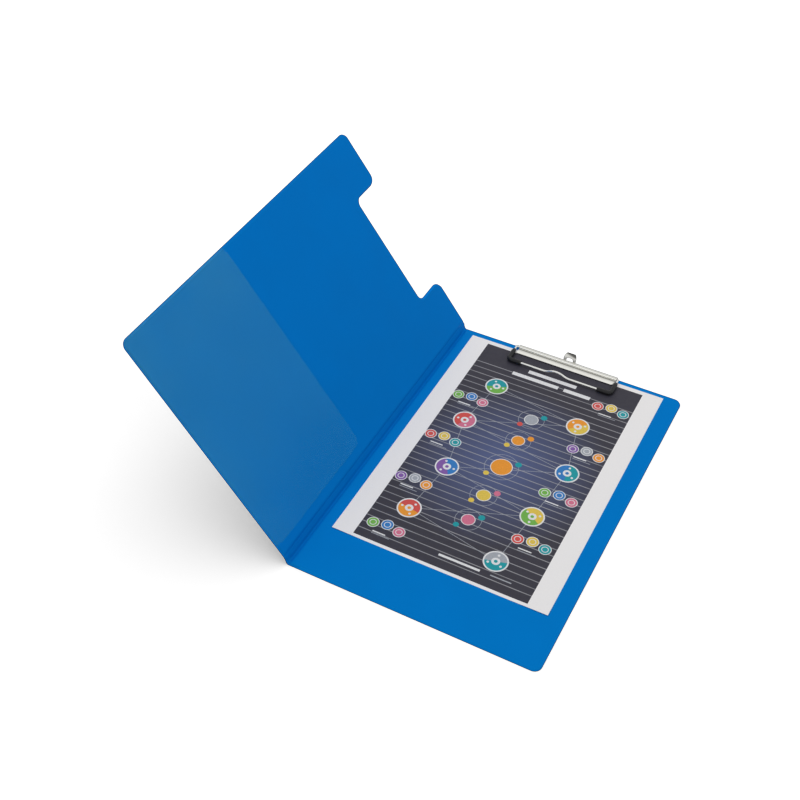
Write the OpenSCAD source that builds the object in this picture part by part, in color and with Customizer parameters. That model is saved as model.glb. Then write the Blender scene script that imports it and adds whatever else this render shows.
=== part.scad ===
// Fold-over clipboard folder: two board panels welded into PVC sheet, a narrow
// spine strip between two fold lines, a clear pocket and a sprung wire clip.
// Millimetres, +Z up. The origin is on the back panel's underside, halfway along
// the fold and in line with the middle of the clip. +X runs from the fold to the
// free edge, +Y runs towards the clip.

/* [Panels] */
// Width of the back panel, from its fold line to its free edge
back_w = 240.1; // [230:0.1:260]
// Distance from the middle of the clip to the back panel's free edge
clip_to_edge = 121.3; // [118:0.1:126]
// Width of the cover, from its fold line to its free edge
cover_w = 238; // [230:0.1:260]
// Height of the folder, along the folds
panel_h = 357; // [340:1:380]
// Radius of the panels' free corners
corner_r = 7; // [4:0.5:12]
// Thickness of the outer PVC skin
skin_t = 0.3; // [0.2:0.05:0.4]
// Thickness of the inner PVC lining
lining_t = 0.3; // [0.2:0.05:0.4]
// Thickness of the boards sealed inside the panels
board_t = 1.8; // [1.4:0.1:2]
// Width of the welded rim around each board
rim_w = 2.5; // [2:0.1:4]

/* [Spine] */
// Width of the spine strip, between the two fold lines
spine_w = 7.6; // [5.4:0.1:10]
// Height of the raised part of the spine strip
spine_rise = 1.2; // [1.1:0.1:1.6]
// Length of flat film at each end of the spine strip
spine_end = 9; // [4:1:15]
// Lean of the spine strip above the table, as the folder stands open
spine_lean = 74; // [20:0.1:90]
// Bend of the cover against the spine strip, as the folder stands open
cover_bend = -19.8; // [-40:0.1:10]

/* [Cover notch] */
// Distance of the notch's middle from the clip's, towards the fold
notch_off = 1.2; // [0:0.1:2]
// Room between the clip's corner sleeves and each side of the notch
notch_room = 3.55; // [3:0.05:6]
// Depth of the clip notch
notch_depth = 37.5; // [34:0.5:45]
// Radius of the notch's inner corners
notch_inner_r = 7.5; // [4:0.5:12]
// Radius of the notch's outer corners
notch_outer_r = 9; // [6:0.5:12]

/* [Pocket] */
// Width of the clear pocket, from the cover's free edge
pocket_w = 225.6; // [180:0.1:230]
// Height of the clear pocket, from the cover's lower edge
pocket_h = 144.2; // [100:0.1:200]
// Radius of the pocket's free corner
pocket_r = 8; // [4:1:12]
// Thickness of the pocket film
pocket_t = 0.2; // [0.15:0.05:0.25]
// Room between the pocket film and the lining
pocket_gap = 0.25; // [0.15:0.05:0.3]

/* [Clip profile] */
// Length of the clip profile
clip_len = 107; // [100:1:108]
// Outer radius of the rolled bead
bead_r = 2; // [1.9:0.05:2.1]
// Thickness of the profile's sheet
sheet_t = 0.55; // [0.4:0.05:0.6]
// Distance from the panel's upper edge to the middle of the bead
bead_inset = 3.8; // [3.4:0.1:5]
// Distance from the middle of the bead to the flange's front edge
flange_w = 8.8; // [8.6:0.1:10]
// Height of the flange's front edge above the lining
flange_z = 1.9; // [1.8:0.1:2.2]
// Length that the flange loses at its right end, towards its front edge
flange_taper = 2.7; // [2:0.1:4]
// Distance of each rivet from the middle of the clip
rivet_x = 38; // [25:1:45]
// Radius of the rivet shanks
rivet_r = 1.6; // [1.2:0.1:1.7]

/* [Hanging tab] */
// Width of the hanging tab
tab_w = 12.6; // [11:0.1:14]
// Length of the hanging tab, from the middle of the bead's back
tab_len = 10; // [8:0.5:12]
// Radius of the tab's upper corners
tab_r = 5; // [3:0.5:6]
// Middle of the tab, along the clip
tab_x = 0.9; // [-2:0.1:2]
// Width of the hole in the tab
tab_hole_w = 7.8; // [6:0.1:8]
// Distance from the middle of the bead's back to the hole's upper edge
tab_hole_top = 5; // [4:0.1:6]

/* [Wire bail] */
// Radius of the bail's wire
wire_r = 1.05; // [0.9:0.05:1.2]
// Distance from the hinge line to the bail's front bar
bail_reach = 22.1; // [21:0.1:24]
// Distance from the end of the clip profile to each side arm
arm_out = 2.4; // [2.3:0.1:3.5]
// Radius of the bail's front corners, along the wire
bail_corner_r = 3.6; // [3:0.1:5]
// Middle of the front bar's hump
hump_x = -3.5; // [-6:0.5:6]
// Half the width of the hump
hump_half = 15; // [13:0.5:18]
// Height of the hump above the front bar
hump_rise = 3.8; // [2:0.1:5]

/* [Corner sleeves] */
// Outer radius of the corner sleeves
grip_r = 2.35; // [2.2:0.05:2.5]
// Length of each sleeve along the front bar, from the middle of the side arm
grip_front = 14.2; // [11:0.1:17]
// Distance from the hinge line to the sleeve's rear end
grip_back = 5.7; // [5.2:0.1:8]

/* [Paper] */
// Width of the sheet of paper
paper_w = 210; // [148:1:216]
// Height of the sheet of paper
paper_h = 297; // [210:1:330]
// Thickness of the sheet of paper
paper_t = 0.12; // [0.1:0.01:0.2]
// Distance from the sheet's upper edge to the fold under the clip's bead
paper_gap = 1.5; // [1:0.05:3]
// Middle of the sheet, along the clip
paper_x = -0.25; // [-1:0.05:1]
// Turn of the sheet on the panel, anticlockwise seen from above
paper_turn = 0.4; // [-0.5:0.05:0.5]

/* [Hidden] */
$fn = 64;
e = 0.01;                                // overlap that joins shapes of one piece
blue = [0.0, 0.43, 0.72];
deep_blue = [0.0, 0.38, 0.68];
nickel = [0.82, 0.82, 0.78];
film_t = skin_t + lining_t;              // skin and lining welded together
panel_t = film_t + board_t;              // whole panel, over its board
fold_r = film_t / 2;                     // radius of a welded fold line
fold_gap = fold_r + 0.04;                // from a fold line to a panel's film
shoulder_u = 3.4;                        // from a fold line to the raised lining
fold_x = clip_to_edge - back_w;          // the back panel's fold line
notch_u = -fold_x - notch_off;           // the notch's middle, from the cover's fold line
top_y = panel_h / 2;                     // the panels' upper edge
paper_lift = 0.02;                       // between the lining and the paper
sleeve_gap = 0.12;                       // between the paper and the corner sleeves
bead_y = top_y - bead_inset;             // the bail's hinge line
bead_z = panel_t + paper_lift + paper_t + sleeve_gap + grip_r;
foot_front = flange_w - 0.7;             // foot plate in front of the bead's middle
saddle_front = 0.9;                      // fold under the bead, in front of its middle
foot_half = clip_len / 2 - 3;            // half the foot plate's length
arm_x = clip_len / 2 + arm_out;          // middle of each side arm
bail_shift = wire_r + 0.3 - arm_out;     // the bail's play, taken up to the left
notch_w = 2 * (arm_x + grip_r + notch_room);
rivet_y = bead_y - (saddle_front + foot_front) / 2;
strip_u = 1.3;                           // from a fold line to the strip's raised part

// Draws a piece on the right for s = 1 and its mirror image on the left for s = -1
module side(s) mirror([s < 0 ? 1 : 0, 0, 0]) children();

// ---- Panels, drawn flat: x from the fold line, y along it ----

// Outline of a panel, d inside its free edges, from u0 off the fold line
module panel_2d(w, d, u0) {
    r = max(corner_r - d, 1);
    half = panel_h / 2 - d;
    translate([u0, -half]) square([w - d - r - u0, 2 * half]);
    translate([w - d - r - e, -half + r]) square([r + e, 2 * (half - r)]);
    for (s = [-1, 1]) translate([w - d - r, s * (half - r)]) circle(r);
}

// The clip notch with rounded corners, d larger than the notch itself
module notch_2d(d) {
    w = notch_w / 2 + d;
    ri = notch_inner_r + d;
    ro = max(notch_outer_r - d, 1);
    y0 = top_y - notch_depth - d;
    y1 = top_y - d;
    translate([notch_u, 0]) {
        translate([-w, y0 + ri]) square([2 * w, notch_depth]);
        translate([-w + ri, y0]) square([2 * (w - ri), ri + e]);
        for (s = [-1, 1]) {
            translate([s * (w - ri), y0 + ri]) circle(ri);
            side(s) difference() {
                translate([w - 1, y1 - ro]) square([ro + 1, ro + 1]);
                translate([w + ro, y1 - ro]) circle(ro);
            }
        }
    }
}

module outline(w, d, u0, notched) {
    difference() {
        panel_2d(w, d, u0);
        if (notched) notch_2d(d);
    }
}

// Outer skin, board and lining of a panel
module skin(w, notched = false) {
    linear_extrude(skin_t) outline(w, 0, fold_gap, notched);
}
module board(w, notched = false) {
    translate([0, 0, skin_t]) linear_extrude(board_t)
        outline(w, rim_w, shoulder_u + lining_t, notched);
}
module lining(w, notched = false) {
    difference() {
        union() {
            translate([0, 0, skin_t]) linear_extrude(lining_t)
                outline(w, 0, fold_gap, notched);
            translate([0, 0, skin_t]) linear_extrude(board_t + lining_t)
                outline(w, rim_w - lining_t, shoulder_u, notched);
        }
        board(w, notched);
    }
}

// Places a flat panel: the back panel, the strip and the cover as they stand
module at_back() translate([fold_x, 0, 0]) children();
module at_spine()
    translate([fold_x, 0, fold_r]) rotate([0, spine_lean, 0])
        translate([0, 0, -fold_r]) mirror([1, 0, 0]) children();
module at_cover()
    translate([fold_x, 0, fold_r]) rotate([0, spine_lean, 0])
        translate([-spine_w, 0, 0]) rotate([0, cover_bend, 0])
            translate([0, 0, -fold_r]) mirror([1, 0, 0]) children();

// Two holes for the rivets, in a panel or plate that is already in place
module rivet_holes(r, z0, z1) {
    for (s = [-1, 1])
        translate([s * rivet_x, rivet_y, z0]) cylinder(h = z1 - z0, r = r);
}

// ---- Back panel ----

module back_outer_skin() color(blue) difference() {
    at_back() skin(back_w);
    rivet_holes(2 * rivet_r, -1, skin_t + 1);
}
module back_board() color([0.62, 0.6, 0.56]) difference() {
    at_back() board(back_w);
    rivet_holes(rivet_r, 0, panel_t);
}
module back_lining() color(blue) difference() {
    at_back() lining(back_w);
    rivet_holes(rivet_r, 1, panel_t + 1);
}

// ---- Spine strip ----

module spine_outer_skin() color(deep_blue) at_spine() {
    translate([0, -top_y, 0]) cube([spine_w, panel_h, skin_t]);
    for (x = [0, spine_w])
        translate([x, top_y, fold_r]) rotate([90, 0, 0]) cylinder(h = panel_h, r = fold_r);
}
module spine_core() color([0.62, 0.6, 0.56]) at_spine()
    translate([strip_u + lining_t, -top_y + spine_end + lining_t, skin_t])
        cube([spine_w - 2 * (strip_u + lining_t), panel_h - 2 * (spine_end + lining_t),
            spine_rise - film_t]);
module spine_lining() color(deep_blue) at_spine() difference() {
    union() {
        translate([fold_gap, -top_y, skin_t])
            cube([spine_w - 2 * fold_gap, panel_h, lining_t]);
        translate([strip_u, -top_y + spine_end, skin_t])
            cube([spine_w - 2 * strip_u, panel_h - 2 * spine_end, spine_rise - skin_t]);
    }
    translate([strip_u + lining_t, -top_y + spine_end + lining_t, skin_t - e])
        cube([spine_w - 2 * (strip_u + lining_t), panel_h - 2 * (spine_end + lining_t),
            spine_rise - film_t + e]);
}

// ---- Cover ----

module cover_outer_skin() color(deep_blue) at_cover() skin(cover_w, true);
module cover_board() color([0.62, 0.6, 0.56]) at_cover() board(cover_w, true);
module cover_lining() color(deep_blue) at_cover() lining(cover_w, true);

// The part of the cover that the pocket lies over
module pocket_2d() {
    u = cover_w - pocket_w;
    y = -top_y + pocket_h;
    translate([u, -top_y - 1]) square([pocket_w + 1, pocket_h + 1 - pocket_r]);
    translate([u + pocket_r, y - pocket_r - e]) square([pocket_w + 1, pocket_r + e]);
    translate([u + pocket_r, y - pocket_r]) circle(pocket_r);
}
module pocket_layer(z, h, d) {
    translate([0, 0, z]) linear_extrude(h) intersection() {
        panel_2d(cover_w, d, shoulder_u);
        pocket_2d();
    }
}
module clear_pocket() color([0.55, 0.7, 0.8, 0.45]) at_cover() {
    d = rim_w - lining_t;
    weld = 2;
    difference() {
        union() {
            pocket_layer(film_t, pocket_t, 0);
            pocket_layer(film_t, board_t + pocket_gap + pocket_t, d - pocket_t);
        }
        pocket_layer(skin_t, panel_t - skin_t, d);
        translate([0, 0, panel_t - e]) linear_extrude(pocket_gap + e) intersection() {
            panel_2d(cover_w, d + weld, cover_w - pocket_w + weld);
            pocket_2d();
        }
    }
}

// ---- Clip profile: one folded sheet, extruded along X ----

// Extrudes a shape drawn in (y, z) along X, centred
module along_x(len) {
    translate([-len / 2, 0, 0]) rotate([90, 0, 90]) linear_extrude(len) children();
}
module ring_2d() {
    difference() {
        circle(bead_r);
        circle(bead_r - sheet_t);
    }
}
// The tab's side view: an arc that leans further back towards its end
module tab_2d() {
    a = [80, 78, 74, 68, 58, 44, 44];
    steps = 6;
    seg = tab_len / steps;
    function run(i) = i == 0 ? [0, 0] : run(i - 1) + seg * [cos(a[i]), sin(a[i])];
    back = [for (i = [0:steps]) run(i) + sheet_t * [sin(a[i]), -cos(a[i])]];
    front = [for (i = [steps:-1:0]) run(i)];
    polygon(concat(back, front));
}
// The tab's front view, with the upper corners rounded
module tab_front_2d(w, h, r) {
    translate([-w / 2, -3]) square([w, h + 3 - r]);
    translate([-w / 2 + r, h - r - e]) square([w - 2 * r, r + e]);
    for (s = [-1, 1]) translate([s * (w / 2 - r), h - r]) circle(r);
}
module flange() {
    root = bead_y - bead_r;
    front = bead_y - flange_w;
    half = clip_len / 2;
    slope = flange_taper / (root - front);
    // plan view of the flange cut out of a long sloping sheet
    intersection() {
        along_x(clip_len) polygon([
            [root + 0.5, bead_z - 0.25], [front, panel_t + flange_z],
            [front, panel_t + flange_z - sheet_t],
            [root + 0.5, bead_z - 0.25 - sheet_t]]);
        linear_extrude(20) polygon([
            [-half, bead_y], [half, bead_y], [half, root],
            [half - flange_taper - slope, front - 1], [-half, front - 1]]);
    }
}
module hanging_tab() {
    z0 = bead_z;
    y0 = bead_y + bead_r - sheet_t;
    rise = tab_len * 0.9;
    translate([tab_x, 0, 0]) difference() {
        intersection() {
            translate([0, y0, z0]) along_x(tab_w + 6) tab_2d();
            translate([0, y0 + 20, z0]) rotate([90, 0, 0]) linear_extrude(40) {
                tab_front_2d(tab_w, rise, tab_r);
                // flared root
                difference() {
                    translate([-tab_w / 2 - 1.4, -1]) square([tab_w + 2.8, 2.4]);
                    for (s = [-1, 1])
                        translate([s * (tab_w / 2 + 1.4), 1.4]) circle(1.4);
                }
            }
        }
        translate([0, y0 + 20, z0]) rotate([90, 0, 0]) linear_extrude(40)
            tab_front_2d(tab_hole_w, tab_hole_top, 2.4);
    }
}
// Foot plate under the paper, and the fold that carries the bead
module foot() {
    translate([-foot_half, bead_y - foot_front, panel_t])
        cube([2 * foot_half, foot_front, sheet_t]);
    translate([-foot_half, bead_y - saddle_front, panel_t])
        cube([2 * foot_half, saddle_front + 1.2, bead_z - panel_t - bead_r + 0.5]);
}
module clip_profile() color(nickel) {
    difference() {
        union() {
            difference() {
                along_x(clip_len) translate([bead_y, bead_z]) circle(bead_r);
                along_x(clip_len + 2) translate([bead_y, bead_z]) circle(bead_r - sheet_t);
            }
            difference() {
                flange();
                along_x(clip_len + 2) translate([bead_y, bead_z]) circle(bead_r - sheet_t / 2);
            }
            difference() {
                foot();
                along_x(clip_len + 2) translate([bead_y, bead_z]) circle(bead_r - sheet_t);
            }
            hanging_tab();
        }
        for (s = [-1, 1]) translate([s * rivet_x, rivet_y, panel_t]) rivet_head(e);
    }
}
// Countersunk head of a rivet, longer at both ends by extra
module rivet_head(extra) {
    k = rivet_r / sheet_t;
    translate([0, 0, -extra])
        cylinder(h = sheet_t + 2 * extra, r1 = rivet_r - k * extra, r2 = 2 * rivet_r + k * extra);
}
module clip_rivets() color([0.75, 0.75, 0.73]) {
    for (s = [-1, 1]) translate([s * rivet_x, rivet_y, 0]) {
        cylinder(h = skin_t, r = 2 * rivet_r);
        cylinder(h = panel_t, r = rivet_r);
        translate([0, 0, panel_t]) rivet_head(0);
    }
}

// ---- Paper: lies on the lining and rides up over the clip's foot ----

module paper_sheet() color([0.86, 0.86, 0.87]) {
    y1 = bead_y - saddle_front - paper_gap;
    y2 = bead_y - foot_front - 0.5;      // upper end of the ramp
    y3 = y2 - 6;                         // lower end of the ramp
    low = panel_t + paper_lift;
    high = panel_t + sheet_t + 0.05;
    raised_w = 2 * (foot_half + 1);
    ys = y1 + 5;
    intersection() {
        translate([paper_x, y1 - paper_h / 2, 0]) rotate([0, 0, paper_turn])
            translate([-paper_w / 2, -paper_h / 2, 0]) cube([paper_w, paper_h, 10]);
        union() {
            difference() {
                translate([-paper_w, y1 - 2 * paper_h, low])
                    cube([2 * paper_w, 3 * paper_h, paper_t]);
                translate([-raised_w / 2, y3, low - 1]) cube([raised_w, 2 * paper_h, 2]);
            }
            along_x(raised_w) polygon([
                [y3, low], [y2, high], [ys, high],
                [ys, high + paper_t], [y2, high + paper_t], [y3, low + paper_t]]);
            for (s = [-1, 1]) translate([s * (raised_w - paper_t) / 2, 0, 0])
                along_x(paper_t) polygon([[y3, low], [ys, low], [ys, high + e], [y2, high + e]]);
        }
    }
}

// ---- Wire bail and its corner sleeves ----

front_y = bead_y - bail_reach;           // the bail's front bar

// Round bar along X or along Y, from one end point
module bar_x(x, y, len, r) {
    translate([x, y, bead_z]) rotate([0, 90, 0]) cylinder(h = len, r = r);
}
module bar_y(x, y, len, r) {
    translate([x, y, bead_z]) rotate([-90, 0, 0]) cylinder(h = len, r = r);
}
// A quarter bend of round bar in a level plane, starting at an angle
module bend(x, y, R, r, start) {
    translate([x, y, bead_z]) rotate([0, 0, start]) rotate_extrude(angle = 90)
        translate([R, 0]) circle(r);
}
// The bail's right corner with its arm and part of the front bar
module bail_corner(r, y_back, x_front) {
    cx = arm_x - bail_corner_r;
    cy = front_y + bail_corner_r;
    bar_y(arm_x, cy, y_back - cy, r);
    bend(cx, cy, bail_corner_r, r, -90);
    bar_x(x_front, front_y, cx - x_front, r);
}
// The hump in the front bar: an arc at the top and one at each foot
module hump() {
    q = hump_half / 2;
    h = hump_rise / 2;
    R = (q * q + h * h) / (2 * h);       // arc that runs q along and h up
    a = asin(q / R);
    short = 0.2;                         // what each arc lacks at a join
    b = a - short / R * 180 / PI;
    translate([hump_x - bail_shift, front_y, bead_z]) rotate([90, 0, 0]) {
        translate([0, hump_rise - R, 0]) rotate([0, 0, 90 - b])
            rotate_extrude(angle = 2 * b) translate([R, 0]) circle(wire_r);
        for (s = [-1, 1]) side(s) {
            translate([-hump_half, R, 0]) rotate([0, 0, 270])
                rotate_extrude(angle = b) translate([R, 0]) circle(wire_r);
            // straight piece of wire that joins two arcs, thicker by a hair
            translate([-q, h, 0]) rotate([0, 90, a])
                cylinder(h = 4 * short, r = wire_r + 0.03, center = true);
        }
    }
}
module wire_bail() color([0.85, 0.85, 0.84]) translate([bail_shift, 0, 0]) {
    elbow = 1.6;
    inside = 9;                          // length of each end inside the bead
    x0 = clip_len / 2 - inside;
    for (s = [-1, 1]) side(s) {
        bail_corner(wire_r, bead_y - elbow, hump_half + s * (hump_x - bail_shift));
        bend(arm_x - elbow, bead_y - elbow, elbow, wire_r, 0);
        bar_x(x0, bead_y, arm_x - elbow - x0, wire_r);
    }
    hump();
}
module grip(s) {
    taper = 3;
    y_back = bead_y - grip_back;
    color([0.08, 0.08, 0.08]) translate([bail_shift, 0, 0]) side(s) difference() {
        union() {
            bail_corner(grip_r, y_back - taper, arm_x - grip_front);
            translate([arm_x, y_back - taper, bead_z]) rotate([-90, 0, 0])
                cylinder(h = taper, r1 = grip_r, r2 = wire_r + 0.5);
        }
        bail_corner(wire_r, y_back + 1, arm_x - grip_front - 1);
    }
}
module grip_left() grip(-1);
module grip_right() grip(1);

back_outer_skin();
back_board();
back_lining();
clip_profile();
clip_rivets();
paper_sheet();
spine_outer_skin();
spine_core();
spine_lining();
cover_outer_skin();
cover_board();
cover_lining();
clear_pocket();
wire_bail();
grip_left();
grip_right();
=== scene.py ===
"""Open fold-over clipboard folder: smooth skins and films over the CAD frame, and a studio."""

import math

import bpy
import numpy as np
from mathutils import Matrix, Vector
from mathutils.geometry import delaunay_2d_cdt


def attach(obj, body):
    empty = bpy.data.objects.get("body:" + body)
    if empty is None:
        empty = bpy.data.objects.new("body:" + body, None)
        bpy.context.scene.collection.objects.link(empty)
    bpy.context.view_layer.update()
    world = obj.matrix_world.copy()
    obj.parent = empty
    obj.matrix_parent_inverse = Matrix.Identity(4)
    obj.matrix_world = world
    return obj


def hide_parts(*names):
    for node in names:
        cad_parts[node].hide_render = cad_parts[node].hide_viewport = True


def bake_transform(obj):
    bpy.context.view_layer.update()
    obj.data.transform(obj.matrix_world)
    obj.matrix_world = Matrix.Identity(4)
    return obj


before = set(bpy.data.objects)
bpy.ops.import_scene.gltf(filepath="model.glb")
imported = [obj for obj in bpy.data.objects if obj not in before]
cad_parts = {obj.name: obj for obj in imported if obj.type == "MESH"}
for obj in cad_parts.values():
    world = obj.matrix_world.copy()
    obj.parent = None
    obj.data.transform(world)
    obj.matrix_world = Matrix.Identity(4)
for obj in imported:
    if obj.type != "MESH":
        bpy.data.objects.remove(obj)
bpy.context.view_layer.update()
MM = 0.001

# ---- sizes in millimetres, as in part.scad ----
BACK_W, COVER_W, PANEL_H, CORNER_R = 240.1, 238.0, 357.0, 7.0
SKIN_T, PANEL_T, POCKET_T, PAPER_T = 0.3, 2.4, 0.2, 0.12
FOLD_Z = SKIN_T  # the fold lines run in the top face of the outer skin
SPINE_W, SPINE_LEAN, COVER_LEAN = 7.6, math.radians(74), math.radians(54.2)
FOLD_X, TOP_Y = 121.3 - BACK_W, PANEL_H / 2
NOTCH_U, NOTCH_HALF, NOTCH_DEPTH, NOTCH_IN_R, NOTCH_OUT_R = 117.6, 61.8, 37.5, 7.5, 9.0
POCKET_U, POCKET_TOP, POCKET_R = 12.4, -TOP_Y + 144.2, 8.0
BEAD_Y, FOOT_HALF = TOP_Y - 3.8, 50.5
PAPER_W, PAPER_H = 210.0, 297.0
PAPER_TOP = BEAD_Y - 2.4
PAPER_LOW = PAPER_TOP - PAPER_H
PAPER_MID, PAPER_TURN = (-0.25, PAPER_TOP - PAPER_H / 2), math.radians(0.4)
# where the sheet rides up over the clip's foot: its slope along y, and the one beside the foot
RAMP, RAMP_SIDE = (159.6, 166.3), (FOOT_HALF + 0.7, FOOT_HALF + 2.9)
# the two fold lines, in the plane across them
A1 = (FOLD_X, FOLD_Z)
A2 = (FOLD_X - SPINE_W * math.cos(SPINE_LEAN), FOLD_Z + SPINE_W * math.sin(SPINE_LEAN))


# ---- helpers ----
def at_back(u, y, z):
    """Back panel: u runs from its fold line to its free edge."""
    return (FOLD_X + u, y, z)


def leaning(pivot, lean, u, y, z):
    """A point u up a leaning strip or panel from its fold line."""
    c, s = math.cos(lean), math.sin(lean)
    return (pivot[0] - u * c + (z - FOLD_Z) * s, y, pivot[1] + u * s + (z - FOLD_Z) * c)


def at_spine(u, y, z):
    """Spine strip: u runs from the back's fold line to the cover's."""
    return leaning(A1, SPINE_LEAN, u, y, z)


def at_cover(u, y, z):
    """Cover: u runs from its fold line to its free edge."""
    return leaning(A2, COVER_LEAN, u, y, z)


def turned(x, y):
    """A point of the sheet, which lies slightly turned on the back panel."""
    c, s = math.cos(PAPER_TURN), math.sin(PAPER_TURN)
    y -= PAPER_MID[1]
    return (PAPER_MID[0] + x * c - y * s, PAPER_MID[1] + x * s + y * c)


def smooth_step(a, b, v):
    """0 at a, 1 at b and beyond, with a soft start and end. a may be the larger one."""
    t = min(max((v - a) / (b - a), 0.0), 1.0)
    return t * t * (3 - 2 * t)


SHARP_FROM = math.radians(50)


def make(name, points, faces, materials, place=None, flip=False, face_material=None):
    """A smooth-shaded mesh object from points in millimetres."""
    pts = [place(*p) for p in points] if place else points
    mesh = bpy.data.meshes.new(name)
    faces = [f[::-1] if flip else f for f in faces]
    mesh.from_pydata([[c * MM for c in p] for p in pts], [], faces)
    mesh.validate()
    for m in materials:
        mesh.materials.append(m)
    if face_material is not None:
        mesh.polygons.foreach_set("material_index", face_material)
    mesh.shade_smooth()
    mesh.set_sharp_from_angle(angle=SHARP_FROM)
    obj = bpy.data.objects.new(name, mesh)
    bpy.context.collection.objects.link(obj)
    return obj


def arc(cx, cy, r, a0, a1, n=10):
    """Points along an arc, from angle a0 to a1 in degrees."""
    return [
        (cx + r * math.cos(math.radians(a0 + (a1 - a0) * i / n)),
         cy + r * math.sin(math.radians(a0 + (a1 - a0) * i / n)))
        for i in range(n + 1)
    ]


def between(a, b, n):
    """The quads between two closed rings of n points, whose first points are a and b."""
    return [(a + i, a + (i + 1) % n, b + (i + 1) % n, b + i) for i in range(n)]


def joined(runs, counts):
    """One closed loop: the runs as they are, and the straight line after each one cut in counts."""
    loop = []
    for run, following, n in zip(runs, runs[1:] + runs[:1], counts):
        (x0, y0), (x1, y1) = run[-1], following[0]
        loop += run + [(x0 + (x1 - x0) * i / n, y0 + (y1 - y0) * i / n) for i in range(1, n)]
    return loop


def panel_loop(w, d, u0, notched):
    """A panel's outline, d inside its free edges and u0 off its fold line."""
    h, r = TOP_Y - d, CORNER_R - d
    runs = [
        [(u0, -h)],
        arc(w - d - r, -h + r, r, -90, 0),
        arc(w - d - r, h - r, r, 0, 90),
    ]
    counts = [24, 36, 24]
    if notched:
        n, ri, ro = NOTCH_HALF + d, NOTCH_IN_R + d, NOTCH_OUT_R - d
        y0 = TOP_Y - NOTCH_DEPTH - d
        runs += [
            arc(NOTCH_U + n + ro, h - ro, ro, 90, 180),
            arc(NOTCH_U + n - ri, y0 + ri, ri, 0, -90),
            arc(NOTCH_U - n + ri, y0 + ri, ri, -90, -180),
            arc(NOTCH_U - n - ro, h - ro, ro, 0, 90),
        ]
        counts = [24, 36, 8, 3, 16, 3, 8]
    return joined(runs + [[(u0, h)]], counts + [36])


def inside(p, loop):
    """Whether a point lies inside a closed loop."""
    hit = False
    x, y = p
    for (x0, y0), (x1, y1) in zip(loop, loop[1:] + loop[:1]):
        if (y0 > y) != (y1 > y) and x < (x1 - x0) * (y - y0) / (y1 - y0) + x0:
            hit = not hit
    return hit


def fill(loop, pitch, height, margin):
    """Triangles that fill a loop, with inner points on a grid of one pitch.

    The inner points keep a margin off the loop. Returns them, at their height, and the faces.
    """
    n = len(loop)
    xs, ys = [p[0] for p in loop], [p[1] for p in loop]
    box = (min(xs), max(xs), min(ys), max(ys))
    nx, ny = (int((box[k + 1] - box[k]) / pitch) for k in (0, 2))
    grid = []
    ring = np.array(loop)
    for i in range(1, nx):
        for j in range(1, ny):
            p = (box[0] + (box[1] - box[0]) * i / nx, box[2] + (box[3] - box[2]) * j / ny)
            if inside(p, loop) and np.hypot(*(ring - np.array(p)).T).min() > margin:
                grid.append(p)
    pts = [Vector(p) for p in loop + grid]
    edges = [(i, (i + 1) % n) for i in range(n)]
    out = delaunay_2d_cdt(pts, edges, [], 1, 1e-6)
    faces, sources = out[2], out[3]
    index = [s[0] if s else None for s in sources]
    assert all(i is not None for i in index), "a loop crosses itself"
    return [(p[0], p[1], height(*p)) for p in grid], [[index[k] for k in f] for f in faces]


def wave(x, y, size, seed):
    """A slow, shallow unevenness of soft sheet, in millimetres."""
    a = math.sin(x / 31 + seed) * math.sin(y / 43 + 2 * seed)
    b = math.sin(x / 17 + 3 * seed + y / 60) * math.sin(y / 23 - seed)
    return size * (0.6 * a + 0.4 * b)


# ---- materials ----
def shader(name):
    """A new material, its node tree and its Principled shader."""
    m = bpy.data.materials.new(name)
    m.use_nodes = True
    t = m.node_tree
    return m, t, t.nodes["Principled BSDF"]


def node(t, kind, **values):
    """A new node, with values for its sockets or its own settings."""
    n = t.nodes.new(kind)
    for k, v in values.items():
        if k in n.inputs:
            n.inputs[k].default_value = v
        else:
            setattr(n, k, v)
    return n


def own_place(t):
    """The object's own coordinates, in metres."""
    return node(t, "ShaderNodeTexCoord").outputs["Object"]


def axes(t, place):
    """X, Y and Z of a place."""
    split = node(t, "ShaderNodeSeparateXYZ")
    t.links.new(place, split.inputs["Vector"])
    return split.outputs["X"], split.outputs["Y"], split.outputs["Z"]


def noise(t, scale, detail=3.0, rough=0.5):
    """Noise on the object's own coordinates."""
    n = node(t, "ShaderNodeTexNoise", Scale=scale, Detail=detail, Roughness=rough)
    t.links.new(own_place(t), n.inputs["Vector"])
    return n.outputs["Fac"]


def calc(t, operation, *values):
    """A Math node on sockets or numbers."""
    n = node(t, "ShaderNodeMath", operation=operation)
    for socket, v in zip(n.inputs, values):
        if isinstance(v, (int, float)):
            socket.default_value = v
        else:
            t.links.new(v, socket)
    return n.outputs["Value"]


def span(t, value, lo, hi, a=0.3, b=0.7):
    """A value that runs from a to b, brought to run from lo to hi."""
    m = node(t, "ShaderNodeMapRange")
    t.links.new(value, m.inputs["Value"])
    for k, v in (("From Min", a), ("From Max", b), ("To Min", lo), ("To Max", hi)):
        m.inputs[k].default_value = v
    return m.outputs["Result"]


def colour_of(mix):
    """A Mix node's colour output: it has one output for each type of data."""
    return next(o for o in mix.outputs if o.type == "RGBA")


def tint(t, fac, low, high):
    """Mix of two colours, each a socket or three numbers, by a 0..1 value."""
    m = node(t, "ShaderNodeMix", data_type="RGBA")
    t.links.new(fac, m.inputs["Factor"])
    for socket, colour in ((m.inputs["A"], low), (m.inputs["B"], high)):
        if isinstance(colour, tuple):
            socket.default_value = (*colour, 1)
        else:
            t.links.new(colour, socket)
    return colour_of(m)


def dimmed(t, colour, share):
    """A colour multiplied by a value or by another colour."""
    m = node(t, "ShaderNodeMix", data_type="RGBA", blend_type="MULTIPLY")
    m.inputs["Factor"].default_value = 1
    t.links.new(colour, m.inputs["A"])
    t.links.new(share, m.inputs["B"])
    return colour_of(m)


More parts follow.
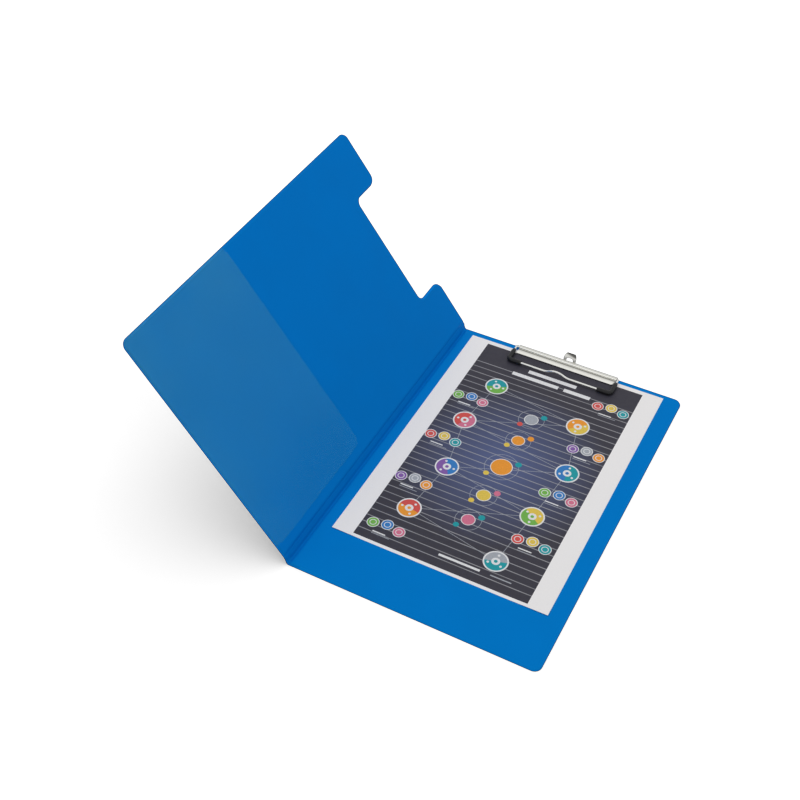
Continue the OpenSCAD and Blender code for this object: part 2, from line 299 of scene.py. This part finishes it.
def bump(t, bsdf, value, depth):
    """A fine relief, depth metres high."""
    b = node(t, "ShaderNodeBump", Strength=1.0, Distance=depth)
    t.links.new(value, b.inputs["Height"])
    t.links.new(b.outputs["Normal"], bsdf.inputs["Normal"])


def scaled(rgb, k):
    return tuple(c * k for c in rgb)


def plain(name, rgb, rough, spread, scale, metallic=0.0, spec=0.5, grain=None):
    """A finish with its colour and roughness slightly uneven.

    spread is the share by which the colour varies, scale that of its noise, and grain the scale
    and depth of a fine relief.
    """
    m, t, b = shader(name)
    soft = noise(t, scale)
    t.links.new(tint(t, span(t, soft, 0, 1), scaled(rgb, 1 - spread), scaled(rgb, 1 + spread)),
                b.inputs["Base Color"])
    t.links.new(span(t, soft, rough * 0.88, rough * 1.12), b.inputs["Roughness"])
    b.inputs["Metallic"].default_value = metallic
    b.inputs["Specular IOR Level"].default_value = spec
    if grain:
        bump(t, b, noise(t, grain[0], 4.0, 0.6), grain[1])
    return m


def pvc(name, rgb):
    """Matt embossed film."""
    return plain(name, rgb, 0.55, 0.02, 25, spec=0.02, grain=(1500, 0.00004))


BACK_BLUE = (0.0, 0.19, 0.59)
COVER_BLUE = (0.0, 0.184, 0.61)
M_BACK = pvc("back_pvc", BACK_BLUE)
M_COVER = pvc("cover_pvc", COVER_BLUE)
# copies of the films for the slopes of the welded rims: painted light makes the back's lighter and
# painted shade makes the cover's darker, evening out how the lamp lights those slopes
M_BACK_RIM_LIT = pvc("back_pvc_rim_painted_light", scaled(BACK_BLUE, 1.15))
M_COVER_RIM_SHADED = pvc("cover_pvc_rim_painted_shade", scaled(COVER_BLUE, 0.82))
M_BOARD = plain("greyboard", (0.34, 0.32, 0.28), 0.9, 0.12, 400, grain=(900, 0.0002))
# its colour is brighter than the plain metal: the painted shade bands below bring most of it down
# and leave the painted highlight line at full
M_NICKEL = plain("nickel_sheet", (0.93, 0.92, 0.865), 0.28, 0.03, 300, metallic=1.0)
M_WIRE = plain("nickel_wire", (0.72, 0.72, 0.69), 0.24, 0.05, 400, metallic=1.0)
M_RIVET = plain("nickel_rivet", (0.66, 0.66, 0.63), 0.35, 0.06, 500, metallic=1.0)
M_SLEEVE = plain("black_plastic", (0.011, 0.011, 0.012), 0.45, 0.2, 400, spec=0.28,
                 grain=(2500, 0.00003))
M_PAPER = plain("paper", (0.87, 0.853, 0.85), 0.75, 0.012, 900, spec=0.2, grain=(3000, 0.00002))

# painted shade and a painted highlight along the clip, in place of the shading of the bead, its
# groove and the flange: millimetres in front of the bead's middle, and the share
BANDS = ((0.3, 0.7), (0.6, 0.6), (1.0, 0.6), (1.4, 1.0), (2.0, 1.0), (2.4, 0.2), (3.1, 0.2),
         (4.0, 0.6), (5.0, 0.75), (6.8, 0.86))
BANDS_FROM, BANDS_TO = -4.0, 10.0


def paint_nickel_shading():
    """Painted shade and a painted highlight in bands on the bead and in front of it, and a painted
    dark reflection on the tab's tip.
    """
    t = M_NICKEL.node_tree
    base = t.nodes["Principled BSDF"].inputs["Base Color"]
    metal = base.links[0].from_socket
    x, y, z = axes(t, own_place(t))
    ramp = node(t, "ShaderNodeValToRGB")
    along = span(t, y, 1, 0, (BEAD_Y - BANDS_TO) * MM, (BEAD_Y - BANDS_FROM) * MM)
    t.links.new(along, ramp.inputs["Fac"])
    stops = ramp.color_ramp.elements
    for front, shade in BANDS:
        stops.new((front - BANDS_FROM) / (BANDS_TO - BANDS_FROM)).color = (shade, shade, shade, 1)
    for stop, (_, shade) in ((stops[0], BANDS[0]), (stops[-1], BANDS[-1])):
        stop.color = (shade, shade, shade, 1)
    # the painted dark reflection on the tab's tip, by height in metres: it reaches lower on the
    # tab's right side
    lower = span(t, x, -0.001, 0.0008, -0.004, 0.006)
    tip = span(t, calc(t, "ADD", lower, z), 1, 0.16, 0.011, 0.0125)
    t.links.new(dimmed(t, dimmed(t, metal, ramp.outputs["Color"]), tip), base)


# painted shade, a painted highlight and a painted dark reflection on the clip's nickel
paint_nickel_shading()

VEIL = (0.14, 0.585, 0.46)
# the veil's change over the pocket, in metres: from the fold up to the free edge, and at the foot
VEIL_Z, VEIL_Y = (0.018, 0.2), (-TOP_Y * MM, -0.142)


def clear_film():
    """Clear PVC with a thin veil, denser towards the cover's free edge and the lower weld."""
    m, t, b = shader("clear_pvc")
    soft = noise(t, 18)
    t.links.new(tint(t, span(t, soft, 0, 1), scaled(VEIL, 0.9), scaled(VEIL, 1.1)),
                b.inputs["Base Color"])
    b.inputs["Roughness"].default_value = 0.32
    b.inputs["Specular IOR Level"].default_value = 0.3
    bump(t, b, noise(t, 60, 2.0), 0.00012)
    _, y, z = axes(t, own_place(t))
    outward = span(t, z, 0.6, 1.4, *VEIL_Z)
    downward = span(t, y, 1.4, 1.0, *VEIL_Y)
    veiled = calc(t, "MULTIPLY", span(t, soft, 0.041, 0.049), outward)
    veiled = calc(t, "MULTIPLY", veiled, downward)
    clear = node(t, "ShaderNodeBsdfTransparent")
    mix = node(t, "ShaderNodeMixShader")
    t.links.new(veiled, mix.inputs["Fac"])
    t.links.new(clear.outputs["BSDF"], mix.inputs[1])
    t.links.new(b.outputs["BSDF"], mix.inputs[2])
    t.links.new(mix.outputs["Shader"], t.nodes["Material Output"].inputs["Surface"])
    return m


M_CLEAR = clear_film()

# the printed field, on the sheet before its turn
PRINT_LEFT, PRINT_RIGHT, PRINT_TOP, PRINT_LOW = -85.0, 85.0, PAPER_TOP - 5, PAPER_TOP - 293.8
RULE_PITCH, RULE_W = 8.1, 0.8
RULES_DOWN, RULES_LONG = 33.5, 256.0  # the first rule under the sheet's top, and how far they go
GLOW_MID, GLOW_REACH = (-1.0, -6.0), (100.0, 105.0)
FIELD = (0.036, 0.034, 0.047)
GLOW = (0.080, 0.104, 0.222)
RULE = (0.36, 0.36, 0.38)


def printed_field():
    """Dark ink with a soft blue glow in the middle and thin rules across it."""
    m, t, b = shader("print_field")
    flat = node(t, "ShaderNodeMapping", vector_type="TEXTURE")
    flat.inputs["Location"].default_value = (PAPER_MID[0] * MM, PAPER_MID[1] * MM, 0)
    flat.inputs["Rotation"].default_value = (0, 0, PAPER_TURN)
    t.links.new(own_place(t), flat.inputs["Vector"])
    x, y, _ = axes(t, flat.outputs["Vector"])
    # distance from the middle of the glow, as a share of its reach
    dx, dy = (calc(t, "DIVIDE", calc(t, "SUBTRACT", v, mid * MM), reach * MM)
              for v, mid, reach in zip((x, y), GLOW_MID, GLOW_REACH))
    far = calc(t, "SQRT", calc(t, "ADD", calc(t, "MULTIPLY", dx, dx), calc(t, "MULTIPLY", dy, dy)))
    base = tint(t, span(t, far, 1, 0, 0.1, 1.0), FIELD, GLOW)
    # rules: the distance to the nearest one, in metres
    from_top = calc(t, "SUBTRACT", (PAPER_H / 2 - RULES_DOWN) * MM, y)
    turn = calc(t, "FRACT", calc(t, "ADD", calc(t, "DIVIDE", from_top, RULE_PITCH * MM), 0.5))
    off = calc(t, "ABSOLUTE", calc(t, "SUBTRACT", turn, 0.5))
    off = calc(t, "MULTIPLY", off, RULE_PITCH * MM)
    line = span(t, off, 1, 0, RULE_W * MM * 0.4, RULE_W * MM * 0.6)
    line = calc(t, "MULTIPLY", line, calc(t, "GREATER_THAN", from_top, -MM))
    line = calc(t, "MULTIPLY", line, calc(t, "LESS_THAN", from_top, RULES_LONG * MM))
    worn = calc(t, "MULTIPLY", line, span(t, noise(t, 45), 0.6, 1))
    t.links.new(tint(t, worn, base, RULE), b.inputs["Base Color"])
    t.links.new(span(t, noise(t, 250), 0.45, 0.6), b.inputs["Roughness"])
    b.inputs["Specular IOR Level"].default_value = 0.25
    return m


M_FIELD = printed_field()

# ---- panels: the film drawn over a board, with a welded rim ----
# distance in from the free edges, distance from the fold line, height
LINING = [
    (0.0, 0.66, 0.42), (0.05, 0.68, 0.56), (0.12, 0.7, 0.61), (0.25, 1.0, 0.7), (0.42, 1.5, 0.98),
    (0.62, 2.1, 1.38), (0.82, 2.8, 1.8), (1.05, 3.5, 2.12), (1.35, 4.2, 2.31), (1.8, 5.0, 2.38),
    (2.8, 6.0, 2.4), (6.0, 7.4, 2.4),
]
RIM_LOOPS = 9  # loops from the edge to the top of the drawn-over board
LINING_WAVE = 0.05


def lining_height(d):
    """Height of a lining at a distance in from its free edge."""
    return float(np.interp(d, [p[0] for p in LINING], [p[2] for p in LINING]))


def panel(name, width, notched, place, materials, rim_from, flip, seed):
    """A lining. Its slope beyond rim_from, off the fold line, takes the second material: the film's
    copy with painted light on the back and with painted shade on the cover.
    """

    def top(x, y):
        return PANEL_T + wave(x, y, LINING_WAVE, seed)

    loops = [[(x, y, SKIN_T) for x, y in panel_loop(width, 0.0, LINING[0][1], notched)]]
    for d, u0, z in LINING:
        calm = smooth_step(2, 6, d)
        loops.append([(x, y, z + wave(x, y, LINING_WAVE, seed) * calm)
                      for x, y in panel_loop(width, d, u0, notched)])
    n = len(loops[0])
    points, faces, mats = [], [], []
    for k, loop in enumerate(loops):
        points += loop
        if k:
            faces += between((k - 1) * n, k * n, n)
            mats += [int(k <= RIM_LOOPS and x > rim_from) for x, _, _ in loop]
    extra, tris = fill([(x, y) for x, y, _ in loops[-1]], pitch=11.0, height=top, margin=4.0)
    base = (len(loops) - 1) * n
    points += extra
    faces += [[base + k for k in f] for f in tris]
    # flat underside of the film, without inner points
    _, under = fill([(x, y) for x, y, _ in loops[0]], pitch=1e6, height=top, margin=1.0)
    faces += [f[::-1] for f in under]
    mats += [0] * (len(faces) - len(mats))
    return make(name, points, faces, materials, place, flip, mats)


back = panel("back_lining_soft", BACK_W, False, at_back, [M_BACK, M_BACK_RIM_LIT],
             rim_from=10, flip=False, seed=1.3)
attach(back, "back")
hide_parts("back_lining")
cover = panel("cover_lining_soft", COVER_W, True, at_cover, [M_COVER, M_COVER_RIM_SHADED],
              rim_from=COVER_W - 4, flip=True, seed=0.7)
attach(cover, "cover")
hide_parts("cover_lining")


# ---- spine: the raised strip and the film bent along each fold line ----
def stations():
    """Places along a fold: closer together near its two ends."""
    ys = list(np.linspace(-TOP_Y + 16, TOP_Y - 16, 34))
    ends = [TOP_Y - 0.02, TOP_Y - 2] + list(np.linspace(TOP_Y - 5, TOP_Y - 14, 10))
    return sorted([-e for e in ends] + ys + ends)


def fade(y):
    """The strip's rise, which ends before the ends of the fold."""
    return smooth_step(TOP_Y - 5.0, TOP_Y - 9.3, abs(y))


def ribbon(name, section, place, material, flip):
    """A closed section of (u, z, rise) points swept along the fold, with rise faded at the ends."""
    n, ys = len(section), stations()
    points = [(u, y, z + rise * fade(y)) for y in ys for u, z, rise in section]
    faces = []
    for k in range(len(ys) - 1):
        faces += between(k * n, (k + 1) * n, n)
    faces += [list(range(n))[::-1], list(range((len(ys) - 1) * n, len(ys) * n))]
    return make(name, points, faces, [material], place, flip)


STRIP_TOP = 0.62
SLOPE = [(0.5, 0.6, 0), (1.0, 0.61, 0.13), (1.6, STRIP_TOP, 0.33), (2.2, STRIP_TOP, 0.46),
         (2.8, STRIP_TOP, 0.54), (3.4, STRIP_TOP, 0.58)]
STRIP = ([(0.5, 0.0, 0), (SPINE_W - 0.5, 0.0, 0)] + [(SPINE_W - u, z, rise) for u, z, rise in SLOPE]
         + [(SPINE_W / 2, STRIP_TOP, 0.6)] + SLOPE[::-1])
strip = ribbon("spine_strip", STRIP, at_spine, M_COVER, flip=False)
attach(strip, "spine")
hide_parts("spine_outer_skin", "spine_lining")

# how far the bent film runs from its fold line, and how far past that its bend starts and ends
FOLD_REACH, FOLD_PAST = 2.6, 0.05


def fold_film(name, before, after, pivot, swell):
    """Both films along a fold line, thicker by swell on the fold itself.

    before and after are the directions that lead away from the pivot.
    """
    p, a, b = np.array(pivot), np.array(before), np.array(after)
    t = np.linspace(0, 1, 11)[:, None]
    line = (1 - t) ** 2 * (p + a * FOLD_REACH) + 2 * t * (1 - t) * p + t ** 2 * (p + b * FOLD_REACH)
    way = np.gradient(line, axis=0)
    way /= np.linalg.norm(way, axis=1)[:, None]
    side = np.stack([way[:, 1], -way[:, 0]], 1)  # towards the inner side of the folder
    upper = line + side * (SKIN_T + swell * np.sin(math.pi * t))
    lower = line - side * SKIN_T
    section = [(x, z, 0) for x, z in list(upper) + list(lower[::-1])]
    return ribbon(name, section, None, M_COVER, flip=True)


def up(lean):
    """The direction up a leaning strip or panel, in the plane across the folds."""
    return (-math.cos(lean), math.sin(lean))


DOWN_SPINE = tuple(-c for c in up(SPINE_LEAN))
for name, pivot, before, after, one, two, swell in (
    ("fold_film_back", A1, (1, 0), up(SPINE_LEAN), "back", "spine", 0.3),
    ("fold_film_cover", A2, DOWN_SPINE, up(COVER_LEAN), "spine", "cover", 0.4),
):
    film = fold_film(name, before, after, pivot, swell)
    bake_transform(film)

# ---- clear pocket ----
# distance in from the cover's edges, distance in from the pocket's own edges
POCKET_INSET = [
    (0.25, 0.0), (0.42, 0.25), (0.62, 0.6), (0.82, 1.0), (1.05, 1.4), (1.35, 1.9), (1.8, 2.5),
    (2.8, 3.8), (4.2, 5.0), (6.0, 7.0),
]
WELD_GAP, POCKET_SAG, POCKET_WAVE = 0.03, 0.17, 0.08


def pocket_loop(d, e):
    """The pocket's outline, d inside the cover's edges and e inside the pocket's own."""
    r, c = POCKET_R - e, CORNER_R - d
    left, top, right, low = POCKET_U + e, POCKET_TOP - e, COVER_W - d, -TOP_Y + d
    runs = [
        [(left, low)],
        arc(right - c, low + c, c, -90, 0),
        [(right, top)],
        arc(left + r, top - r, r, 90, 180),
    ]
    return joined(runs, [30, 20, 30, 20])


def pocket_height(x, y):
    """Height of the pocket's underside: close on the welds, with a little room in the middle."""
    near = max(COVER_W - x, 0.0), max(y + TOP_Y, 0.0)
    if near[0] < CORNER_R and near[1] < CORNER_R:
        d = CORNER_R - math.hypot(CORNER_R - near[0], CORNER_R - near[1])
    else:
        d = min(near)
    free = min(smooth_step(1.6, 3.2, x - POCKET_U), smooth_step(2.6, 5.0, COVER_W - x),
               smooth_step(2.6, 5.0, y + TOP_Y))
    room = WELD_GAP + free * (POCKET_SAG + wave(x, y, POCKET_WAVE, 2.1))
    return lining_height(d) + room


def pocket():
    """Clear film over the cover's lower part: welded on three sides, open at the top."""
    loops = [pocket_loop(d, e) for d, e in POCKET_INSET]
    n = len(loops[0])
    points, faces = [], []
    for lift in (0.0, POCKET_T):
        start = len(points)
        skin = []
        for k, loop in enumerate(loops):
            points += [(x, y, pocket_height(x, y) + lift) for x, y in loop]
            if k:
                skin += between(start + (k - 1) * n, start + k * n, n)
        more, tris = fill(loops[-1], pitch=8.0, margin=3.0,
                          height=lambda x, y: pocket_height(x, y) + lift)
        points += more
        base = start + (len(loops) - 1) * n
        skin += [[base + k for k in f] for f in tris]
        faces += skin if lift else [f[::-1] for f in skin]
    faces += between(0, len(points) // 2, n)
    obj = make("pocket_film", points, faces, [M_CLEAR], at_cover, True)
    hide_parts("clear_pocket")
    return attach(obj, "cover")


pocket()

# ---- paper ----
PAPER_Z, FOOT_RISE, CURL, PAPER_WAVE = 2.43, 0.57, 0.55, 0.09


def paper_height(x, y):
    """Height of the sheet's underside.

    It rides up over the clip's foot, and its low corners lift a little.
    """
    over = smooth_step(RAMP_SIDE[1], RAMP_SIDE[0], abs(x)) * smooth_step(*RAMP, y)
    curl = CURL * smooth_step(PAPER_LOW + 26, PAPER_LOW, y) * smooth_step(60, PAPER_W / 2, abs(x))
    calm = smooth_step(PAPER_TOP - 25, PAPER_TOP - 60, y)
    return PAPER_Z + FOOT_RISE * over + curl + calm * max(wave(x, y, PAPER_WAVE, 4.2), 0)


def cuts(stops, pitch):
    """All stops, with even steps of about one pitch between them."""
    out = []
    for a, b in zip(stops, stops[1:]):
        n = max(1, round((b - a) / pitch))
        out += [a + (b - a) * i / n for i in range(n)]
    return out + [stops[-1]]


def paper():
    """The sheet, as a fine grid with its printed field in the second material."""
    # the raised part lies straight, so it is a little to the right on the turned sheet
    shift = 1.25
    low, high = RAMP_SIDE
    xs = cuts([-PAPER_W / 2, PRINT_LEFT, shift - high, shift - low, shift + low, shift + high,
               PRINT_RIGHT, PAPER_W / 2], 6)
    # finer cuts on the slopes beside the foot and in front of it
    xs = sorted(xs + [shift + s * v for s in (-1, 1) for v in (51.6, 52.0, 52.4, 52.9)])
    ys = cuts([PAPER_LOW, PRINT_LOW, 150, *RAMP, PRINT_TOP, PAPER_TOP], 6)
    ys = sorted(set(ys + list(np.linspace(*RAMP, 8)[1:-1])))
    nx, ny = len(xs), len(ys)
    size = nx * ny
    flat = [turned(x, y) for y in ys for x in xs]
    points = [(x, y, paper_height(x, y) + lift) for lift in (0.0, PAPER_T) for x, y in flat]
    faces, mats = [], []
    for j in range(ny - 1):
        for i in range(nx - 1):
            a = j * nx + i
            quad = (a, a + 1, a + nx + 1, a + nx)
            inked = (PRINT_LEFT <= xs[i] + 0.01 and xs[i + 1] <= PRINT_RIGHT + 0.01
                     and PRINT_LOW <= ys[j] + 0.01 and ys[j + 1] <= PRINT_TOP + 0.01)
            faces += [quad[::-1], tuple(k + size for k in quad)]
            mats += [0, int(inked)]
    rim = [j * nx + i for i, j in (
        [(i, 0) for i in range(nx)] + [(nx - 1, j) for j in range(1, ny)]
        + [(i, ny - 1) for i in range(nx - 2, -1, -1)] + [(0, j) for j in range(ny - 2, 0, -1)])]
    faces += [(a, b, b + size, a + size) for a, b in zip(rim, rim[1:] + rim[:1])]
    mats += [0] * len(rim)
    obj = make("paper_sheet_soft", points, faces, [M_PAPER, M_FIELD], None, False, mats)
    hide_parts("paper_sheet")
    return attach(obj, "back")


paper()

# ---- a generic chart printed on the sheet: plain discs, rings, links and bars ----
INKS = {
    "white": (0.75, 0.75, 0.76), "red": (0.62, 0.08, 0.07), "orange": (0.80, 0.30, 0.03),
    "yellow": (0.72, 0.52, 0.08), "green": (0.16, 0.42, 0.07), "teal": (0.01, 0.30, 0.34),
    "blue": (0.03, 0.19, 0.50), "violet": (0.22, 0.10, 0.36), "pink": (0.62, 0.16, 0.26),
    "grey": (0.36, 0.38, 0.42),
}
INK_ORDER = list(INKS)
M_INK = [plain("ink_" + name, rgb, 0.5, 0.08, 700, spec=0.25) for name, rgb in INKS.items()]
INK_SUNK, INK_T, INK_STEP = 0.03, 0.008, 0.012  # under the paper's face, over it, and per layer


class Sheet:
    """Collects thin printed shapes into one mesh.

    Places are millimetres on the sheet before its turn.
    """

    def __init__(self):
        self.points, self.faces, self.mats = [], [], []

    def lay(self, spots, layer):
        """Adds spots just under the paper's face, and once more at their layer's height over it."""
        for lift in (PAPER_T - INK_SUNK, PAPER_T + INK_T + INK_STEP * layer):
            self.points += [(x, y, paper_height(x, y) + lift)
                            for x, y in (turned(*p) for p in spots)]

    def close(self, faces, colour):
        """Adds faces of one colour."""
        self.faces += faces
        self.mats += [INK_ORDER.index(colour)] * len(faces)

    def prism(self, ring, colour, layer):
        """A thin plate on a closed ring of points."""
        n, base = len(ring), len(self.points)
        self.lay(ring, layer)
        low = list(range(base, base + n))
        self.close([low[::-1], [k + n for k in low], *between(base, base + n, n)], colour)

    def disc(self, x, y, r, colour, layer):
        self.prism(arc(x, y, r, 0, 360, 40 if r > 4 else 28)[:-1], colour, layer)

    def sector(self, x, y, r, a0, a1, colour, layer):
        self.prism(arc(x, y, r, a0, a1, 18), colour, layer)

    def band(self, pairs, colour, layer, closed):
        """A thin strip between pairs of points, its right side first, as seen along the strip."""
        base, n = len(self.points), len(pairs)
        for pair in pairs:
            self.lay(pair, layer)
        made = []
        for k in range(n if closed else n - 1):
            a, b = base + 4 * k, base + 4 * ((k + 1) % n)
            made += [(a, a + 1, b + 1, b), (a + 2, b + 2, b + 3, a + 3),
                     (a, b, b + 2, a + 2), (a + 1, a + 3, b + 3, b + 1)]
        if not closed:
            a, b = base, base + 4 * (n - 1)
            made += [(a, a + 2, a + 3, a + 1), (b, b + 1, b + 3, b + 2)]
        self.close(made, colour)

    def bar(self, p, q, width, colour, layer=0):
        """A straight strip from p to q, cut short enough to follow the paper."""
        p, q = np.array(p, float), np.array(q, float)
        way = (q - p) / np.linalg.norm(q - p)
        side = np.array([-way[1], way[0]]) * width / 2
        steps = max(1, int(np.linalg.norm(q - p) / 12))
        spots = [p + (q - p) * i / steps for i in range(steps + 1)]
        self.band([(tuple(c - side), tuple(c + side)) for c in spots], colour, layer, False)

    def ring(self, x, y, r, width, colour, layer=0):
        outer, inner = (arc(x, y, k, 0, 360, 36)[:-1] for k in (r, r - width))
        self.band(list(zip(outer, inner)), colour, layer, True)


def chart():
    """A made-up chart.

    Layer 0 holds links and orbits, 1 bars and the discs' white grounds, 2 to 5 what lies on them.
    """
    sheet = Sheet()
    # heading: three plain bars
    for x0, x1, y in ((-30, 22, 147.0), (-44, 6, 138.0), (12, 40, 138.0)):
        sheet.bar((x0, y), (x1, y), 4.6, "white", 1)
    # two columns of large discs that step down the sheet, linked in a zigzag
    big = [(-50, 112, "teal", "green"), (44, 96, "orange", "yellow"), (-58, 54, "red", "pink"),
           (58, 34, "blue", "teal"), (-46, -10, "violet", "blue"), (50, -30, "green", "yellow"),
           (-54, -72, "orange", "red"), (42, -92, "teal", "grey")]
    for a, b in [*zip(big, big[1:]), *zip(big, big[2:])]:
        sheet.bar(a[:2], b[:2], 0.45, "grey")
    edge, big_r = 0.7, 10.2  # width of the white edge round a small disc, radius of a large one
    for i, (x, y, one, two) in enumerate(big):
        sheet.disc(x, y, big_r + 2 * edge, "white", 1)
        sheet.disc(x, y, big_r, one, 2)
        sheet.sector(x, y, big_r, 200 + 25 * i, 380 + 25 * i, two, 3)
        sheet.disc(x, y, 4.0, "white", 4)
        for px, py in arc(x, y, 7.1, 30 * i, 30 * i + 360, 3)[:-1]:
            sheet.disc(px, py, 1.2, "white", 4)
        sheet.disc(x, y, 1.7, one, 5)
    # middle column of ringed discs, each with two small discs on its ring
    for y, r, c in ((84, 6.4, "grey"), (52, 6.0, "orange"), (13, 10.0, "orange"),
                    (-27, 6.4, "yellow"), (-60, 6.0, "pink")):
        orbit = r + 6.5
        sheet.ring(0, y, orbit, 0.4, "grey")
        sheet.disc(0, y, r + edge, "white", 1)
        sheet.disc(0, y, r, c, 2)
        sheet.disc(orbit * 0.8, y + orbit * 0.6, 3.2, INK_ORDER[y // 3 % 8 + 1], 2)
        sheet.disc(-orbit * 0.6, y - orbit * 0.8, 2.8, INK_ORDER[y // 5 % 8 + 1], 2)
    # small discs in rows of three, with two short bars under each row
    rows = [(64, 132), (-66, 84), (64, 66), (-66, 22), (62, 2), (-66, -40), (62, -60), (-62, -102)]
    small_r = 5.2
    for i, (x, y) in enumerate(rows):
        for j in range(3):
            px, py = x + (j - 1) * 13.2, y + (j % 2) * 3.0
            sheet.disc(px, py, small_r + edge, "white", 1)
            sheet.disc(px, py, small_r, INK_ORDER[1 + (i * 3 + j * 2) % 9], 2)
            sheet.ring(px, py, 3.3, 0.7, "white", 3)
        sheet.bar((x - 9, y - 9), (x + 4, y - 9), 1.2, "white", 1)
        sheet.bar((x - 9, y - 11.4), (x + 9, y - 11.4), 0.6, "grey", 1)
    # closing bars at the foot of the sheet
    sheet.bar((-6, -108), (34, -108), 2.4, "white", 1)
    sheet.bar((44, -108), (64, -108), 1.2, "grey", 1)
    obj = make("sheet_print", sheet.points, sheet.faces, M_INK, None, False, sheet.mats)
    obj.data.shade_flat()
    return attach(obj, "back")


chart()

# ---- finishes on the CAD pieces that are shown as they are ----
FINISH = {
    "back_outer_skin": M_BACK, "back_board": M_BOARD, "spine_core": M_BOARD, "cover_board": M_BOARD,
    "cover_outer_skin": M_COVER, "clip_profile": M_NICKEL, "clip_rivets": M_RIVET,
    "wire_bail": M_WIRE, "grip_left": M_SLEEVE, "grip_right": M_SLEEVE,
}
for name, material in FINISH.items():
    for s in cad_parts[name].material_slots:
        s.material = material

# ---- studio ----
world = bpy.data.worlds.new("studio")
bpy.context.scene.world = world
world.use_nodes = True
wt = world.node_tree
sky = wt.nodes["Background"]
sky.inputs["Color"].default_value = (1, 1, 1, 1)
seen = node(wt, "ShaderNodeLightPath")


def brighter(base, strength, ray):
    """The world's strength, or another one as seen by one kind of ray."""
    mix = node(wt, "ShaderNodeMix", data_type="FLOAT")
    wt.links.new(seen.outputs[ray], mix.inputs["Factor"])
    if isinstance(base, float):
        mix.inputs["A"].default_value = base
    else:
        wt.links.new(base, mix.inputs["A"])
    mix.inputs["B"].default_value = strength
    return mix.outputs["Result"]


shine = 0.59
for ray, strength in (("Is Glossy Ray", 1.0), ("Is Transmission Ray", 1.0), ("Is Camera Ray", 1.1)):
    shine = brighter(shine, strength, ray)
wt.links.new(shine, sky.inputs["Strength"])

FLOOR_HALF, FLOOR_DROP = 3, 0.0002  # metres
mesh = bpy.data.meshes.new("floor")
corners = [(x * FLOOR_HALF, y * FLOOR_HALF, 0) for x, y in ((-1, -1), (1, -1), (1, 1), (-1, 1))]
mesh.from_pydata(corners, [], [(0, 1, 2, 3)])
floor = bpy.data.objects.new("floor", mesh)
bpy.context.collection.objects.link(floor)
floor.location.z = -FLOOR_DROP
floor.data.materials.append(plain("floor", (0.9, 0.9, 0.9), 0.8, 0.01, 8, spec=0.1))
floor.is_shadow_catcher = True

LAMP_PLACE = Vector((-0.6, 0.5, 2.2))
lamp_data = bpy.data.lights.new("top_soft", "AREA")
lamp_data.shape, lamp_data.size, lamp_data.energy = "DISK", 3.0, 23
lamp = bpy.data.objects.new("top_soft", lamp_data)
bpy.context.collection.objects.link(lamp)
lamp.location = LAMP_PLACE
lamp.rotation_euler = (-LAMP_PLACE).to_track_quat("-Z", "Y").to_euler()  # aims at the origin
lamp.visible_camera = lamp.visible_glossy = False

# ---- camera, at the photograph's place ----
CAMERA_PLACE = Vector((0.28795, -0.7171, 0.84533))
RIGHT = Vector((0.88159, 0.47198, -0.00617))
DOWN = Vector((0.32423, -0.61501, -0.71878))
AHEAD = Vector((-0.34304, 0.63166, -0.69521))
cam_data = bpy.data.cameras.new("camera")
cam_data.sensor_width, cam_data.lens = 36.0, 54.62
cam_data.clip_start, cam_data.clip_end = 0.01, 20.0
camera = bpy.data.objects.new("camera", cam_data)
bpy.context.collection.objects.link(camera)
turn = Matrix((RIGHT, -DOWN, -AHEAD)).transposed().to_4x4()
camera.matrix_world = Matrix.Translation(CAMERA_PLACE) @ turn
bpy.context.scene.camera = camera
bpy.context.scene.view_settings.view_transform = "Standard"
